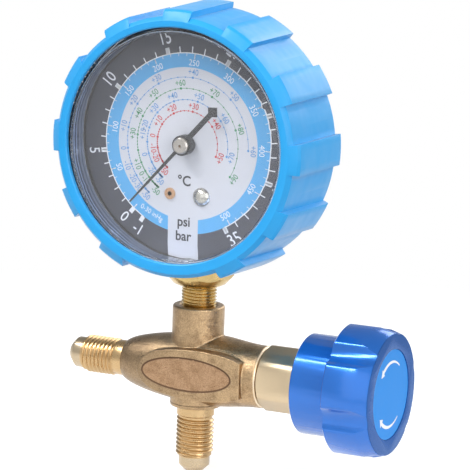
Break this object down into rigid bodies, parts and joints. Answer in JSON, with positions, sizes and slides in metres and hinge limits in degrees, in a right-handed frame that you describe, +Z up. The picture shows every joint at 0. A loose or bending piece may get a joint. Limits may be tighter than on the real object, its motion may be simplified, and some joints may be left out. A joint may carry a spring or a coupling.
{
  "type": "refrigerant manifold gauge",
  "caption": "Round refrigerant pressure gauge in a rubber boot on a small brass manifold with a hand valve and male flare ports.",
  "frame": {"origin": "on the axis of the lower flare port, at the free end of its thread", "axes": "+Z up along the port and gauge stem, +X along the valve spindle to the knob, -Y out of the dial"},
  "size_m": [0.102, 0.0401, 0.1376],
  "materials": {
    "forged_brass": "matte forged skin, bright machined ends",
    "bonnet_brass": "turned, greyish",
    "stem_brass": "machined",
    "inner_brass": "bright",
    "tube_bronze": "drawn, soft sheen",
    "ptfe": "smooth",
    "seal_rubber": "matte black",
    "boot_rubber": "blue, satin",
    "knob_blue": "blue anodised, satin",
    "label_film": "printed film",
    "screw_steel": "zinc plated",
    "arbor_steel": "polished",
    "cap_chrome": "bright",
    "case_black": "black, satin",
    "window_clear": "clear, polished",
    "dial_white": "printed matte white",
    "pointer_black": "matte black"
  },
  "bodies": {
    "manifold": {"manifold_body": "forged_brass", "valve_bonnet": "bonnet_brass", "bonnet_seal": "ptfe", "gauge_socket": "stem_brass", "restrictor": "inner_brass", "gauge_case": "case_black", "case_screws": "screw_steel", "gauge_boot": "boot_rubber", "window": "window_clear", "window_gasket": "seal_rubber", "dial_plate": "dial_white", "dial_screw": "screw_steel", "dial_eyelet": "inner_brass", "front_plate": "inner_brass", "back_plate": "inner_brass", "plate_pillars": "inner_brass", "movement_screws": "screw_steel", "bourdon_tube": "tube_bronze", "hairspring": "tube_bronze", "hairspring_stud": "inner_brass"},
    "seat": {"seat_holder": "stem_brass", "seat_disc": "ptfe"},
    "handle": {"valve_spindle": "stem_brass", "spindle_seals": "seal_rubber", "knob": "knob_blue", "knob_screw": "screw_steel", "knob_label": "label_film"},
    "needle": {"pinion_arbor": "arbor_steel", "pointer": "pointer_black", "pointer_cap": "cap_chrome"},
    "sector": {"sector_gear": "inner_brass", "sector_pin": "arbor_steel"},
    "tip": {"tube_tip": "inner_brass"},
    "link": {"tip_link": "inner_brass"}
  },
  "joints": [
    {"name": "valve_lift", "type": "slide", "parent": "manifold", "child": "seat", "axis": [1, 0, 0], "range_m": [0, 0.003]},
    {"name": "valve_turn", "type": "hinge", "parent": "seat", "child": "handle", "pos_m": [0, 0, 0.026], "axis": [1, 0, 0], "range_deg": [-0.5, 720.5]},
    {"name": "pointer_turn", "type": "hinge", "parent": "manifold", "child": "needle", "pos_m": [0, 0, 0.0933], "axis": [0, 1, 0], "range_deg": [-11, 289.6], "deforming": ["hairspring"]},
    {"name": "sector_swing", "type": "hinge", "parent": "manifold", "child": "sector", "pos_m": [0.00959, 0, 0.07807], "axis": [0, 1, 0], "range_deg": [-37, 2]},
    {"name": "tip_slide", "type": "slide", "parent": "manifold", "child": "tip", "axis": [1, 0, 0], "range_m": [-0.00014, 0.00373], "stiffness_N_per_m": 400, "deforming": ["bourdon_tube"]},
    {"name": "link_turn", "type": "hinge", "parent": "tip", "child": "link", "pos_m": [0.017, 0, 0.07219], "axis": [0, 1, 0], "range_deg": [-0.1, 0.4]}
  ],
  "couplings": [
    {"joint": "valve_turn", "follows": "valve_lift", "rad_per_m": 4188.8},
    {"joint": "pointer_turn", "follows": "tip_slide", "rad_per_m": 1355.9},
    {"joint": "sector_swing", "follows": "tip_slide", "rad_per_m": -169.48},
    {"joint": "link_turn", "follows": "tip_slide", "rad_per_m": 1.3162}
  ]
}
